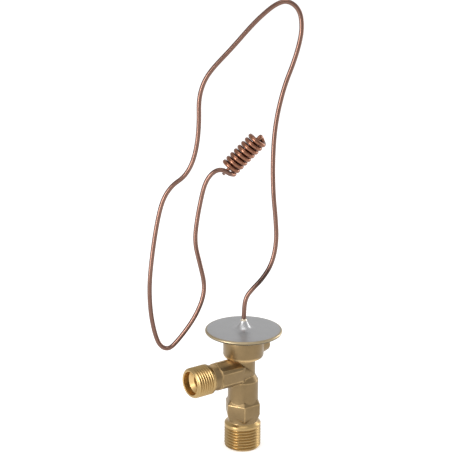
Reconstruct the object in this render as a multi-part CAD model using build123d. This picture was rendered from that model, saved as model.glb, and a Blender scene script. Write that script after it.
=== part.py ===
"""Thermostatic expansion valve, flare connections, with a coiled sensing bulb.

Millimetres. The origin is the centre of the outlet's end face. +Z runs up the stem to the power
head, the inlet branch points along -X and the blank equaliser boss along +X.
"""

import os
from math import cos, floor, radians, sin, sqrt, tan

from build123d import *

# Outlet stem: heights above the end face
outlet_thread_r, outlet_thread_pitch = 9.525, 1.5875  # 3/4-16 UNF
outlet_thread_top = 13.5
outlet_chamfer = 0.95
neck_r = 7.8  # plain neck above the thread
hexagon_flats = 17.0
hexagon_bottom, hexagon_top = 15.6, 27.0
hexagon_full_bottom, hexagon_full_top = 19.2, 24.8
hexagon_foot_flats, hexagon_head_flats = 14.8, 14.2
stem_r = 8.0
stem_top = 37.5
waist_r = 6.3
waist_bottom, waist_top = 40.5, 50.0
collar_r = 10.55
collar_top = 63.5
collar_bottom_r = 8.9
collar_round_r, collar_round_top = 10.1, 50.65  # first corner of the rounded lower edge
collar_wall_bottom = 51.7

# Inlet branch: its axis crosses the stem at branch_z, and its length is measured from the stem axis
branch_z = 42.7
branch_face = 33.7
inlet_thread_r, inlet_thread_pitch = 7.9375, 1.411  # 5/8-18 UNF
inlet_thread_start = 22.9
inlet_chamfer = 0.95
branch_neck_r = 6.8
branch_hexagon_flats = 14.0
branch_hexagon_corner_r = 7.6  # corners rounded by the forging die
branch_hexagon_end = 18.0
branch_hexagon_root = 5.0

# Blank boss on the collar
boss_z = 54.6
boss_root_r, boss_end_r = 5.2, 3.8
boss_end = 15.3

# Passages in the body
outlet_mouth_r, outlet_mouth_depth = 6.9, 3.0
nut_bore_r, nut_bore_top = 6.0, 14.0
spring_bore_r, spring_bore_top = 5.6, 30.0
seat_bore_r, seat_bore_top = 3.6, 34.0
inlet_chamber_r = 3.2
bush_bore_r, bush_bore_bottom = 3.6, 48.0
head_recess_r, head_recess_bottom = 9.3, 58.5
inlet_mouth_r, inlet_mouth_depth = 6.15, 3.5
strainer_bore_r, strainer_bore_end = 4.25, 14.0
inlet_passage_r = 2.6
equaliser_hole_r, equaliser_hole_x = 0.7, 4.9

# Power head
head_r = 20.0
head_top = 65.3
lower_shell_r = 19.3
lower_shell_t = 0.7
shell_cup_r = 8.5
shell_cup_floor_t = 0.8
shell_cup_hole_r = 5.7
diaphragm_t = 0.15
cover_t = 0.55
cover_dome = 0.3
rim_edge = 0.75  # side of the rolled rim's half octagon
hub_base_r = 6.2
# Radius and rise of the drawn hub above the disc
hub_outline = [(hub_base_r, 0.0), (4.7, 0.45), (3.5, 1.3), (2.55, 2.6), (1.95, 3.7), (1.75, 4.4)]
braze_height = 0.9

# Valve group
lift = 0.6
rod_r = 1.0
running_gap = 0.05
orifice_r = 1.4
seat_bottom = 29.2
ball_r = 2.0
pad_r, pad_top, pad_t = 7.6, 64.05, 1.2
cradle_r = 4.9
spring_wire_r, spring_coil_r, spring_turns, spring_steps = 0.55, 3.6, 4, 12
spring_bottom, spring_top = 12.6, 23.8
nut_bottom, nut_top = 7.0, 11.5
nut_key_flats = 5.5
cup_bottom = 11.5
flow_hole_r, flow_hole_count, flow_hole_pitch_r = 0.85, 4, 4.35
stop_ring_bottom, stop_ring_top = 4.6, 5.6
stop_ring_r, stop_ring_inner_r, stop_ring_groove_r = 6.5, 5.2, 6.55
stop_ring_gap = 3.0

# Rod guide and strainer
bush_top = 57.8
bush_seal_floor = 54.5
seal_pocket_r = 2.3
seal_t, seal_chamfer = 1.2, 0.3
retainer_bottom, retainer_top = 56.0, 56.8
strainer_ring_start, strainer_ring_length, strainer_ring_inner_r = 25.6, 2.0, 3.3
screen_t, screen_tip_r = 0.25, 2.4
screen_slot_width, screen_slot_count = 0.7, 8

# Capillary and bulb. The loop lies in upright planes turned loop_turn about the stem.
tube_r = 1.2
tube_start = 66.2
loop_turn = -36.0
coil_r = 4.0
coil_pitch = 2.7
coil_tilt = 46.5
coil_along, coil_behind, coil_up = -8.25, 19.0, 145.7
coil_start_angle, coil_end_angle, coil_step = 130.0, 3100.0, 30.0
tail_r, tail_length = 0.8, 3.6

# Corners of the capillary's route: along the loop, behind the stem axis, height
tube_route = [
    (0.0, 0.0, tube_start),
    (0.0, 0.0, 75.0),
    (0.8, 0.3, 82.3),
    (4.5, 0.6, 87.2),
    (9.0, 0.8, 91.9),
    (14.1, 1.4, 100.1),
    (16.4, 2.1, 111.8),
    (15.7, 3.0, 124.0),
    (14.3, 3.9, 136.7),
    (13.8, 5.8, 153.0),
    (14.7, 6.9, 172.0),
    (18.8, 8.6, 190.7),
    (24.1, 9.4, 204.5),
    (27.2, 10.1, 216.8),
    (27.2, 10.5, 224.3),
    (25.8, 10.7, 229.1),
    (22.9, 10.8, 232.3),
    (19.1, 11.0, 233.7),
    (15.0, 11.1, 232.3),
    (10.5, 11.2, 229.1),
    (3.1, 11.5, 222.0),
    (-7.5, 11.7, 209.4),
    (-17.0, 11.8, 199.3),
    (-21.4, 11.6, 192.3),
    (-23.7, 11.4, 183.5),
    (-23.4, 11.0, 172.0),
    (-24.4, 10.8, 160.0),
    (-26.9, 10.5, 150.2),
    (-31.1, 10.1, 143.4),
    (-37.0, 9.8, 139.4),
    (-41.7, 9.1, 132.4),
    (-44.5, 8.6, 121.5),
    (-47.1, 7.0, 105.0),
    (-48.9, 5.0, 87.5),
    (-48.3, 4.7, 72.5),
    (-46.5, 4.4, 62.5),
    (-44.8, 5.0, 56.6),
    (-43.3, 5.1, 53.9),
    (-41.2, 5.3, 52.2),
    (-38.8, 5.5, 52.1),
    (-36.5, 5.8, 53.7),
    (-31.8, 6.4, 59.3),
    (-25.7, 7.2, 68.1),
    (-21.4, 8.1, 77.8),
    (-20.2, 9.6, 86.0),
    (-22.8, 10.5, 97.0),
    (-25.6, 12.2, 108.0),
    (-24.6, 12.9, 118.9),
    (-22.4, 13.6, 131.1),
    (-20.4, 13.4, 139.4),
    (-17.4, 13.2, 144.4),
    (-13.8, 13.0, 146.8),
    (-10.6, 13.0, 146.5),
]

tiny = 0.01
thread_depth = 0.6  # share of the pitch

hub_foot = head_top + cover_dome
hub_top = hub_foot + hub_outline[-1][1]
ball_z = seat_bottom - sqrt(ball_r**2 - orifice_r**2) - tiny
rod_bottom, rod_top = ball_z + ball_r, pad_top - 2.0

loop_axis = Vector(cos(radians(loop_turn)), sin(radians(loop_turn)), 0)
behind_axis = Vector(-sin(radians(loop_turn)), cos(radians(loop_turn)), 0)
coil_axis = loop_axis * cos(radians(coil_tilt)) + Vector(0, 0, 1) * sin(radians(coil_tilt))
coil_side = loop_axis * -sin(radians(coil_tilt)) + Vector(0, 0, 1) * cos(radians(coil_tilt))


def turned(*profile):
    """Solid of revolution about Z from a closed outline of (radius, height) corners."""
    return revolve(Plane.XZ * make_face(Polyline(*profile, close=True)), Axis.Z)


def round_bar(radius, low, high, x=0.0, y=0.0):
    """Upright cylinder between two heights."""
    return Pos(x, y, low) * Cylinder(radius, high - low, align=(Align.CENTER, Align.CENTER, Align.MIN))


def along_branch(shape):
    """Takes a shape built up +Z from the stem axis and lays it along the inlet branch."""
    return Pos(0, 0, branch_z) * Rot(0, -90, 0) * shape


def hexagon_bar(flats, low, high, turn=0.0):
    """Upright hexagon bar with corners on X, turned by the given angle."""
    corner_r = flats / 2 / cos(radians(30))
    return Pos(0, 0, low) * extrude(Rot(0, 0, turn) * RegularPolygon(corner_r, 6), high - low)


def spaced_round(shape, count, first_angle=0.0):
    """Copies of a shape evenly spaced about Z."""
    return [Rot(0, 0, first_angle + 360 / count * index) * shape for index in range(count)]


def thread_ridges(radius, pitch, low, high):
    """Outline corners of a thread between two heights, as ridges with flat crests and sharp roots."""
    ridge_count = floor((high - low) / pitch)
    half_mouth = pitch * (1 - 1 / 8) / 2
    corners = []
    for ridge in range(ridge_count):
        root = low + pitch * (ridge + 0.5) + pitch / 16
        corners.append((radius, root - half_mouth))
        corners.append((radius - thread_depth * pitch, root))
        corners.append((radius, root + half_mouth))
    return corners


def body_stem():
    """Outside of the outlet stem, waist and collar, without the hexagon."""
    return turned(
        (0, 0),
        (outlet_thread_r - outlet_chamfer, 0),
        (outlet_thread_r, outlet_chamfer),
        *thread_ridges(outlet_thread_r, outlet_thread_pitch, outlet_chamfer + tiny, outlet_thread_top),
        (outlet_thread_r, outlet_thread_top),
        (neck_r, outlet_thread_top + (outlet_thread_r - neck_r) / 2),
        (neck_r, hexagon_full_bottom),
        (stem_r, hexagon_full_bottom),
        (stem_r, stem_top),
        (waist_r, waist_bottom),
        (waist_r, waist_top),
        (collar_bottom_r, waist_top),
        (collar_round_r, collar_round_top),
        (collar_r, collar_wall_bottom),
        (collar_r, collar_top),
        (0, collar_top),
    )


def body_hexagon():
    """Forged hexagon of the stem, tapered at both ends so that it runs out into the round."""
    full = RegularPolygon(hexagon_flats / 2, 6, major_radius=False)
    foot = RegularPolygon(hexagon_foot_flats / 2, 6, major_radius=False)
    head = RegularPolygon(hexagon_head_flats / 2, 6, major_radius=False)
    return loft(
        [
            Pos(0, 0, hexagon_bottom) * foot,
            Pos(0, 0, hexagon_full_bottom) * full,
            Pos(0, 0, hexagon_full_top) * full,
            Pos(0, 0, hexagon_top) * head,
        ],
        ruled=True,
    )


def body_branch():
    """Outside of the inlet branch: threaded end, neck, hexagon and its tapered root in the waist."""
    corner_r = branch_hexagon_flats / 2 / cos(radians(30))
    thread_end = branch_face - inlet_chamfer
    threaded_end = turned(
        (0, 0),
        (branch_neck_r, 0),
        (branch_neck_r, inlet_thread_start - (inlet_thread_r - branch_neck_r)),
        (inlet_thread_r, inlet_thread_start),
        *thread_ridges(inlet_thread_r, inlet_thread_pitch, inlet_thread_start + tiny, thread_end),
        (inlet_thread_r, thread_end),
        (inlet_thread_r - inlet_chamfer, branch_face),
        (0, branch_face),
    )
    end_taper = turned(
        (0, 0),
        (branch_hexagon_corner_r, 0),
        (branch_hexagon_corner_r, branch_hexagon_end - 0.5),
        (branch_neck_r + 0.1, branch_hexagon_end),
        (0, branch_hexagon_end),
    )
    hexagon = hexagon_bar(branch_hexagon_flats, branch_hexagon_root, branch_hexagon_end) & end_taper
    root = loft(
        [
            RegularPolygon(corner_r * 0.7, 6),
            Pos(0, 0, branch_hexagon_root) * RegularPolygon(corner_r, 6),
        ]
    )
    return along_branch(threaded_end + hexagon + root)


def body_boss():
    """Blank round boss on the collar, opposite the inlet."""
    boss = turned(
        (0, 0),
        (boss_root_r, 0),
        (boss_root_r, sqrt(collar_r**2 - boss_root_r**2)),
        (boss_end_r, boss_end - 0.7),
        (boss_end_r - 0.7, boss_end),
        (0, boss_end),
    )
    return Pos(0, 0, boss_z) * Rot(0, 90, 0) * boss


def body_passages():
    """Everything that is drilled and bored out of the body."""
    outlet_side = turned(
        (0, -1),
        (outlet_mouth_r, -1),
        (outlet_mouth_r, outlet_mouth_depth),
        (nut_bore_r, outlet_mouth_depth + outlet_mouth_r - nut_bore_r),
        (nut_bore_r, nut_bore_top),
        (spring_bore_r, nut_bore_top + nut_bore_r - spring_bore_r),
        (spring_bore_r, spring_bore_top),
        (seat_bore_r, spring_bore_top),
        (seat_bore_r, seat_bore_top),
        (inlet_chamber_r, seat_bore_top),
        (inlet_chamber_r, bush_bore_bottom),
        (bush_bore_r, bush_bore_bottom),
        (bush_bore_r, head_recess_bottom),
        (head_recess_r, head_recess_bottom),
        (head_recess_r, collar_top + 1),
        (0, collar_top + 1),
    )
    inlet_side = turned(
        (0, 0),
        (inlet_passage_r, 0),
        (inlet_passage_r, strainer_bore_end),
        (strainer_bore_r, strainer_bore_end),
        (strainer_bore_r, branch_face - inlet_mouth_depth - (inlet_mouth_r - strainer_bore_r)),
        (inlet_mouth_r, branch_face - inlet_mouth_depth),
        (inlet_mouth_r, branch_face + 1),
        (0, branch_face + 1),
    )
    equaliser_hole = round_bar(
        equaliser_hole_r, spring_bore_top - 1, head_recess_bottom + 1, x=equaliser_hole_x
    )
    ring_groove = round_bar(stop_ring_groove_r, stop_ring_bottom, stop_ring_top)
    return outlet_side + along_branch(inlet_side) + equaliser_hole + ring_groove


def valve_body():
    return body_stem() + body_hexagon() + body_branch() + body_boss() - body_passages()


def head_base():
    """Lower shell: flat flange with a drop-down cup that is let into the collar."""
    flange_top = collar_top + lower_shell_t
    recess_top = flange_top - 0.25
    return turned(
        (shell_cup_hole_r, head_recess_bottom),
        (head_recess_r, head_recess_bottom),
        (head_recess_r, collar_top),
        (lower_shell_r, collar_top),
        (lower_shell_r, flange_top),
        (lower_shell_r - 1.3, flange_top),
        (lower_shell_r - 1.7, recess_top),
        (shell_cup_r, recess_top),
        (shell_cup_r, head_recess_bottom + shell_cup_floor_t),
        (shell_cup_hole_r, head_recess_bottom + shell_cup_floor_t),
    )


def diaphragm_outline(offset):
    """One face of the corrugated diaphragm, from the clamped rim to the flat centre."""
    rim = collar_top + lower_shell_t + offset
    waves = [(16.4, rim - 0.2), (13.8, rim - 0.02), (11.2, rim - 0.2)]
    clamped = [(lower_shell_r, rim), (lower_shell_r - 1.3, rim)]
    return [*clamped, *waves, (pad_r + 0.6, pad_top + offset), (0, pad_top + offset)]


def diaphragm():
    return turned(*diaphragm_outline(0), *reversed(diaphragm_outline(diaphragm_t)))


def head_cover():
    """Upper shell: rim rolled over the lower one, slightly domed disc and drawn hub."""
    clamp = collar_top + lower_shell_t + diaphragm_t
    rim_middle = (head_top + collar_top) / 2
    rim_side = rim_edge * sqrt(0.5)
    underside = head_top - cover_t
    return turned(
        (tube_r, hub_top),
        (tube_r, underside + cover_dome),
        (hub_base_r - 1, underside + cover_dome),
        (lower_shell_r - 1.7, underside),
        (lower_shell_r - 1.7, clamp),
        (lower_shell_r, clamp),
        (lower_shell_r, collar_top),
        (head_r - rim_side, collar_top),
        (head_r, rim_middle - rim_edge / 2),
        (head_r, rim_middle + rim_edge / 2),
        (head_r - rim_side, head_top),
        *[(radius, hub_foot + height) for radius, height in hub_outline],
    )


def braze_bead():
    """Braze fillet round the capillary on top of the hub."""
    bead_top = hub_top + braze_height
    return turned(
        (tube_r, bead_top),
        (tube_r, hub_top),
        (hub_outline[-1][0], hub_top),
        (tube_r + 0.22, hub_top + braze_height * 0.4),
    )


def diaphragm_pad():
    """Buffer plate with a socket for the pushrod."""
    plate = round_bar(pad_r, pad_top - pad_t, pad_top)
    socket = round_bar(2.6, pad_top - 3.6, pad_top - pad_t)
    return plate + socket - round_bar(rod_r, pad_top - 3.7, rod_top)


def pushrod():
    return round_bar(rod_r, rod_bottom, rod_top)


def guide_bush():
    """Pressed-in guide with a pocket for the rod seal."""
    bush = round_bar(bush_bore_r, bush_bore_bottom, bush_top)
    bush -= round_bar(rod_r + running_gap, bush_bore_bottom - 1, bush_top)
    return bush - round_bar(seal_pocket_r, bush_seal_floor, bush_top + 1)


def rod_seal():
    """Seal ring round the pushrod, with chamfered edges."""
    inner_r = rod_r + 0.03
    ring = round_bar(inner_r + seal_t, bush_seal_floor, bush_seal_floor + seal_t)
    ring -= round_bar(inner_r, bush_seal_floor - 1, bush_seal_floor + seal_t + 1)
    return chamfer(ring.edges().filter_by(GeomType.CIRCLE), seal_chamfer)


def seal_retainer():
    washer = round_bar(seal_pocket_r, retainer_bottom, retainer_top)
    return washer - round_bar(rod_r + 0.2, retainer_bottom - 1, retainer_top + 1)


def orifice_seat():
    """Pressed-in seat with a sharp orifice edge that the ball closes."""
    seat = turned(
        (0, seat_bottom),
        (orifice_r + 0.6, seat_bottom),
        (seat_bore_r - 0.8, seat_bottom + 0.8),
        (seat_bore_r, seat_bottom + 0.8),
        (seat_bore_r, seat_bore_top),
        (0, seat_bore_top),
    )
    bore = turned(
        (0, seat_bottom - 1),
        (orifice_r, seat_bottom - 1),
        (orifice_r, seat_bottom + 1.8),
        (orifice_r + 0.7, seat_bore_top - 1.5),
        (orifice_r + 0.7, seat_bore_top + 1),
        (0, seat_bore_top + 1),
    )
    return seat - bore


def valve_ball():
    return Pos(0, 0, ball_z) * Sphere(ball_r)


def ball_cradle():
    """Carrier of the ball, with the spring's upper seat and a centring spigot."""
    carrier = turned(
        (0, spring_top - 2.3),
        (2.4, spring_top - 2.3),
        (2.85, spring_top - 1.8),
        (2.85, spring_top),
        (cradle_r, spring_top),
        (cradle_r, spring_top + 1.4),
        (3.0, spring_top + 2.2),
        (3.0, ball_z - 0.6),
        (0, ball_z - 0.6),
    )
    return carrier - valve_ball()


def superheat_spring():
    """Round-wire compression spring between the cup and the cradle."""
    rise = spring_top - spring_bottom - 2 * spring_wire_r
    steps = spring_turns * spring_steps
    low = spring_bottom + spring_wire_r
    corners = [
        Rot(0, 0, 360 * step / spring_steps) * Pos(spring_coil_r, 0, low + rise * step / steps)
        for step in range(steps + 1)
    ]
    wire_path = Polyline(*[corner.position for corner in corners])
    section = Plane(wire_path @ 0, z_dir=wire_path % 0) * Circle(spring_wire_r)
    return sweep(section, wire_path, transition=Transition.RIGHT)


def spring_cup():
    """Lower seat of the spring, open between its flow holes."""
    cup = turned(
        (0, cup_bottom),
        (spring_bore_r - 0.15, cup_bottom),
        (spring_bore_r - 0.15, spring_bottom),
        (2.9, spring_bottom),
        (2.9, spring_bottom + 2.0),
        (2.5, spring_bottom + 2.5),
        (0, spring_bottom + 2.5),
    )
    flow_hole = round_bar(flow_hole_r, cup_bottom - 1, spring_bottom + 1, x=flow_hole_pitch_r)
    return cup - round_bar(1.5, cup_bottom - 1, spring_bottom + 4) - spaced_round(flow_hole, flow_hole_count)


def adjusting_nut():
    """Threaded nut with a hexagon socket and flow holes."""
    nut = round_bar(nut_bore_r - running_gap, nut_bottom, nut_top)
    nut = chamfer(nut.edges(), 0.3)
    flow_hole = round_bar(flow_hole_r, nut_bottom - 1, nut_top + 1, x=flow_hole_pitch_r)
    key_socket = hexagon_bar(nut_key_flats, nut_bottom - 1, nut_top + 1)
    return nut - key_socket - spaced_round(flow_hole, flow_hole_count)


def stop_ring():
    """Open retaining ring in the groove below the nut."""
    low, high = stop_ring_bottom + running_gap, stop_ring_top - running_gap
    ring = round_bar(stop_ring_r, low, high) - round_bar(stop_ring_inner_r, low - 1, high + 1)
    gap = Pos(stop_ring_r, 0, stop_ring_bottom) * Box(4, stop_ring_gap, 4)
    return ring - gap


def strainer_ring():
    """Pressed-in ring that holds the screen."""
    start, end = strainer_ring_start, strainer_ring_start + strainer_ring_length
    ring = round_bar(strainer_bore_r, start, end)
    return along_branch(ring - round_bar(strainer_ring_inner_r, start - 1, end + 1))


def strainer_screen():
    """Tapered screen cup, closed at its inner end, with rows of slots."""
    tip, mouth = strainer_bore_end + 2.0, strainer_ring_start + 1.5
    tip_r, mouth_r = screen_tip_r, strainer_ring_inner_r
    cup = turned((0, tip), (tip_r, tip), (mouth_r, mouth), (0, mouth))
    cup -= turned(
        (0, tip + screen_t), (tip_r - screen_t, tip + screen_t), (mouth_r - screen_t, mouth), (0, mouth)
    )
    slot = Pos(mouth_r, 0, (tip + mouth) / 2 - 0.5) * Box(3, screen_slot_width, mouth - tip - 4)
    return along_branch(cup - spaced_round(slot, screen_slot_count, first_angle=22.5))


def loop_point(along, behind, height):
    """Point of the capillary's route in the valve's frame."""
    return loop_axis * along + behind_axis * behind + Vector(0, 0, height)


def coil_plane():
    """Local frame of the bulb: Z along its axis, X to the side that faces the big loop."""
    centre = loop_point(coil_along, coil_behind, coil_up)
    return Plane(centre, x_dir=coil_side, z_dir=coil_axis)


def coil_height(angle):
    """Height along the bulb's axis at a winding angle."""
    return coil_pitch * (angle - 180) / 360


def rounded_path(points):
    """Straight runs joined by arcs as large as the shorter neighbouring run allows."""
    radii = []
    for before, corner, after in zip(points, points[1:], points[2:]):
        half_turn = radians((corner - before).get_angle(after - corner)) / 2
        run = min((corner - before).length, (after - corner).length)
        radii.append(0.45 * run / tan(half_turn))
    return FilletPolyline(*points, radius=radii), radii


def winding_path():
    """Corners of the wound bulb from its first strand up, then back down through its core."""
    frame = coil_plane().location
    step_count = round((coil_end_angle - coil_start_angle) / coil_step)
    corners = []
    for step in range(step_count + 1):
        angle = coil_start_angle + coil_step * step
        corners.append(frame * Rot(0, 0, angle) * Pos(coil_r, 0, coil_height(angle)))
    top = coil_height(coil_end_angle)
    corners.append(frame * Rot(0, 0, coil_end_angle + 40) * Pos(0.75 * coil_r, 0, top + 1.2))
    corners.append(frame * Pos(0, 0, top + 1.3))
    corners.append(frame * Pos(0, 0, coil_height(180)))
    return Polyline(*[corner.position for corner in corners])


def capillary_tube():
    """Bent capillary, the wound bulb, and the sealed tail that returns through its core."""
    winding = winding_path()
    bulb = sweep(
        Plane(winding @ 0, z_dir=winding % 0) * Circle(tube_r), winding, transition=Transition.RIGHT
    )
    start, heading = winding @ 0, winding % 0
    route, radii = rounded_path([loop_point(*point) for point in tube_route] + [start - heading * 2.6, start])
    print("capillary bend radii", [round(radius, 1) for radius in radii])
    lead = sweep(Plane(route @ 0, z_dir=route % 0) * Circle(tube_r), route)
    core_bottom = coil_height(180)
    tail = coil_plane().location * round_bar(tail_r, core_bottom - tail_length, core_bottom + 1)
    return lead + bulb + tail


nodes = {
    "valve_body": valve_body,
    "head_base": head_base,
    "head_cover": head_cover,
    "diaphragm": diaphragm,
    "braze_bead": braze_bead,
    "capillary_tube": capillary_tube,
    "diaphragm_pad": diaphragm_pad,
    "pushrod": pushrod,
    "guide_bush": guide_bush,
    "rod_seal": rod_seal,
    "seal_retainer": seal_retainer,
    "orifice_seat": orifice_seat,
    "valve_ball": valve_ball,
    "ball_cradle": ball_cradle,
    "superheat_spring": superheat_spring,
    "spring_cup": spring_cup,
    "adjusting_nut": adjusting_nut,
    "stop_ring": stop_ring,
    "strainer_ring": strainer_ring,
    "strainer_screen": strainer_screen,
}

os.makedirs("parts", exist_ok=True)
for name, build in nodes.items():
    export_step(build(), f"parts/{name}.step")
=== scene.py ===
"""Looks of the thermostatic expansion valve: brass body, steel power head, copper capillary and bulb."""

import math
from contextlib import contextmanager
from functools import cached_property

import bpy
from mathutils import Matrix, Vector


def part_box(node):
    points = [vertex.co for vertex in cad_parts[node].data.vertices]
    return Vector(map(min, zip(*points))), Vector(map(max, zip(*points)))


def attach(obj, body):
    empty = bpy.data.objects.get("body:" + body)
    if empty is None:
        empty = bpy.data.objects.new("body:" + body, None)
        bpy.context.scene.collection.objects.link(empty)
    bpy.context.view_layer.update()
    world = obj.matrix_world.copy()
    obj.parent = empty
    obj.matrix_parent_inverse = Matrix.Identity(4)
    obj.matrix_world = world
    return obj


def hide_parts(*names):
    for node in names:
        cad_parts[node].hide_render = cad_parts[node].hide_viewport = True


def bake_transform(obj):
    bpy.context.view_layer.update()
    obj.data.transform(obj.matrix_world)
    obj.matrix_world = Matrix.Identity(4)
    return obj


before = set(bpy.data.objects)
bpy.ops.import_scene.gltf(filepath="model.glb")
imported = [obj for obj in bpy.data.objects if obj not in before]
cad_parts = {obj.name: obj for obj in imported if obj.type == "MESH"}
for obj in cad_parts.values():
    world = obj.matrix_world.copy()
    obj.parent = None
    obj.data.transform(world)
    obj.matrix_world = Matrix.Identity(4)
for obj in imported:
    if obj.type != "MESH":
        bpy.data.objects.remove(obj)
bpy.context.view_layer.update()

bl_info = {
    "name": "Expansion valve",
    "version": (1, 0, 0),
    "blender": (4, 5, 0),
    "location": "View3D > Sidebar > Valve",
    "description": "Builds a thermostatic expansion valve piece by piece",
    "category": "Object",
}

MM = 0.001


# ---------------------------------------------------------------- sizes in millimetres and degrees

# Outlet end: radii, and heights above its face
OUTLET_CUT, OUTLET_END_TOP = 14.2, 15.4  # the solid is cut at the first, and the new end reaches the second
OUTLET_BORE_R, OUTLET_JOINT_R = 6.0, 6.3
STOP_GROOVE_R, STOP_GROOVE_BOTTOM, STOP_GROOVE_TOP = 6.55, 4.6, 5.6
OUTLET_MOUTH_R, OUTLET_MOUTH_DEPTH, OUTLET_CONE_TOP = 6.9, 3.0, 3.9
OUTLET_LIP_R, OUTLET_LIP_DEPTH = 7.15, 0.25
OUTLET_FACE_R, OUTLET_EDGE_R, OUTLET_EDGE_DEPTH = 8.45, 8.65, 0.12
OUTLET_THREAD_BOTTOM, OUTLET_THREAD_TOP = 0.95, 13.3
OUTLET_RUNOUT_STEP, OUTLET_RUNOUT_TOP = 0.15, 13.55
OUTLET_NECK_R, OUTLET_NECK_BOTTOM = 7.7, 14.45

# Inlet end: radii, and distances from the stem axis, cut and joined as the outlet's is
INLET_FACE = -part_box("valve_body")[0].x / MM
INLET_CUT, INLET_END_ROOT = 21.74, 20.6
INLET_BORE_R, INLET_JOINT_R = 4.25, 4.5
INLET_CONE_ROOT, INLET_MOUTH_FLOOR, INLET_MOUTH_R = 28.3, 30.2, 6.15
INLET_LIP_START, INLET_LIP_R = 33.5, 6.35
INLET_FACE_R, INLET_EDGE_R, INLET_EDGE_START = 6.85, 7.05, 33.6
INLET_THREAD_START, INLET_THREAD_END = 23.0, 32.75
INLET_RUNOUT_STEP, INLET_RUNOUT_START = 0.12, 22.8
INLET_NECK_R, INLET_NECK_END = 6.7, 21.66

# Thread grooves: half widths and depths as shares of the pitch, and the first groove in pitches
# from the end's face
GROOVE_FLANK = [(0.47, -0.04), (0.4, 0.05), (0.12, 0.5), (0.05, 0.57)]
GROOVE_DEPTH = 0.585
OUTLET_FIRST_GROOVE, OUTLET_TURNS = -0.55, 8
INLET_FIRST_GROOVE, INLET_TURNS = -0.4, 7
THREAD_STEPS = 96  # per turn

# Boxes that cut the solid's own ends off
CUT_HALF_WIDTH = 15
OUTLET_CUT_BOTTOM = -5
INLET_CUT_REACH, INLET_CUT_LOW, INLET_CUT_HIGH = 40, 30, 60

# Rounded edges of the forging, which carry a painted highlight
EDGE_WIDTH, EDGE_SEGMENTS, EDGE_ANGLE = 0.28, 2, 24

# Where the body's brass changes
# Inside the inlet mouth the brass is painted lighter: painted light for light bounced inside the bore
PAINTED_LIGHT_BORE_R, PAINTED_LIGHT_BORE_START = 6.4, 7
TURNED_INLET_START, TURNED_OUTLET_TOP = 21.7, 14.4
SPRING_BORE_R, SPRING_BORE_TOP = 6.2, 30
STEM_ROOT_BOTTOM, STEM_ROOT_TOP = 25.4, 27.6
WAIST_BOTTOM, WAIST_HALF_WIDTH = 40.4, 7.2
# Band on the inlet side below the power head that gets painted light, for light bounced between brass faces
PAINTED_LIGHT_BOTTOM, PAINTED_LIGHT_TOP, PAINTED_LIGHT_SIDE = (48.4, 49.3), (51.2, 52.2), (0, 4)

# How much lighter the brass is painted: as painted light below the power head, as a painted highlight on
# the edges, and as painted light inside the inlet mouth
PAINTED_LIGHT_TONE, EDGE_HIGHLIGHT_TONE, BORE_PAINTED_LIGHT_TONE = 2.6, 1.8, 1.45

# Cover of the power head
DISC_TOP, DISC_DOME = 65.3, 0.3
DISC_RINGS = [(15, 0.36), (10, 0.72)]  # radius, and share of the dome's rise
DISC_INNER_R, DISC_INNER_DROP = 6.8, 0.02
# Radius of the drawn hub, and its rise above the disc
HUB_OUTLINE = [(6.2, 0), (4.7, 0.45), (3.5, 1.3), (2.55, 2.6), (1.95, 3.7), (1.75, 4.4)]
HUB_STEPS, RIM_STEPS = 4, 12
# Below the rim's middle the cover is darkened as painted shade
RIM_TINT_INNER, RIM_TINT_OUTER = 1.3, 0.6  # inwards from the rim's edge
RIM_SHADE_BELOW, RIM_SHADE_ABOVE = 0.35, 0.1  # about the rim's middle

# Braze bead: how far it stands out from the tube at its top, its shoulder and its foot
BEAD_TOP_OUT, BEAD_TOP_DROP = 0.12, 0.25
BEAD_SHOULDER_OUT, BEAD_SHOULDER_RISE = 0.3, 0.32
BEAD_FOOT_OUT = 0.55

# Corners of the capillary's route: along the loop, behind the stem axis, height
TUBE_ROUTE = [
    (0.0, 0.0, 66.2),
    (0.0, 0.0, 75.0),
    (0.8, 0.3, 82.3),
    (4.5, 0.6, 87.2),
    (9.0, 0.8, 91.9),
    (14.1, 1.4, 100.1),
    (16.4, 2.1, 111.8),
    (15.7, 3.0, 124.0),
    (14.3, 3.9, 136.7),
    (13.8, 5.8, 153.0),
    (14.7, 6.9, 172.0),
    (18.8, 8.6, 190.7),
    (24.1, 9.4, 204.5),
    (27.2, 10.1, 216.8),
    (27.2, 10.5, 224.3),
    (25.8, 10.7, 229.1),
    (22.9, 10.8, 232.3),
    (19.1, 11.0, 233.7),
    (15.0, 11.1, 232.3),
    (10.5, 11.2, 229.1),
    (3.1, 11.5, 222.0),
    (-7.5, 11.7, 209.4),
    (-17.0, 11.8, 199.3),
    (-21.4, 11.6, 192.3),
    (-23.7, 11.4, 183.5),
    (-23.4, 11.0, 172.0),
    (-24.4, 10.8, 160.0),
    (-26.9, 10.5, 150.2),
    (-31.1, 10.1, 143.4),
    (-37.0, 9.8, 139.4),
    (-41.7, 9.1, 132.4),
    (-44.5, 8.6, 121.5),
    (-47.1, 7.0, 105.0),
    (-48.9, 5.0, 87.5),
    (-48.3, 4.7, 72.5),
    (-46.5, 4.4, 62.5),
    (-44.8, 5.0, 56.6),
    (-43.3, 5.1, 53.9),
    (-41.2, 5.3, 52.2),
    (-38.8, 5.5, 52.1),
    (-36.5, 5.8, 53.7),
    (-31.8, 6.4, 59.3),
    (-25.7, 7.2, 68.1),
    (-21.4, 8.1, 77.8),
    (-20.2, 9.6, 86.0),
    (-22.8, 10.5, 97.0),
    (-25.6, 12.2, 108.0),
    (-24.6, 12.9, 118.9),
    (-22.4, 13.6, 131.1),
    (-20.4, 13.4, 139.4),
    (-17.4, 13.2, 144.4),
    (-13.8, 13.0, 146.8),
    (-10.6, 13.0, 146.5),
]
LOOP_TURN = -36.0
TINT_CENTRE = (9.5, 0.8, 93.5)  # middle of the torch-darkened stretch
TINT_CORE, TINT_REACH, TINT_WANDER = 6, 12, 4

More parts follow.
